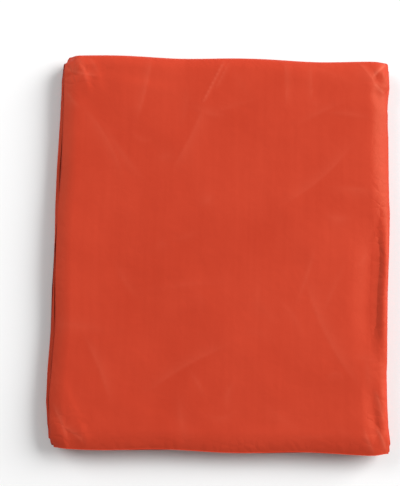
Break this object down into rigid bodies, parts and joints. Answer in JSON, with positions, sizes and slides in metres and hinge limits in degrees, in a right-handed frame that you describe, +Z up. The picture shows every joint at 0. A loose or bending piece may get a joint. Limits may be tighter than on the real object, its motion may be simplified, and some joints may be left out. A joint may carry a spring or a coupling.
{
  "type": "folded emergency sleeping bag",
  "caption": "Orange polythene emergency sleeping bag, folded in half lengthways and then back and forth into a flat rectangular pack that lies on its back.",
  "frame": {"origin": "on the surface the pack rests on, under the middle of the pack", "axes": "+Z up, out of the pack's face; +Y along the pack's length, towards its head edge, which is the top edge in the picture; +X across its width, to the right in the picture"},
  "size_m": [0.2334, 0.2748, 0.0172],
  "materials": {
    "orange_film": "satin"
  },
  "bodies": {
    "root": {"folded_bag": "orange_film"}
  },
  "joints": []
}
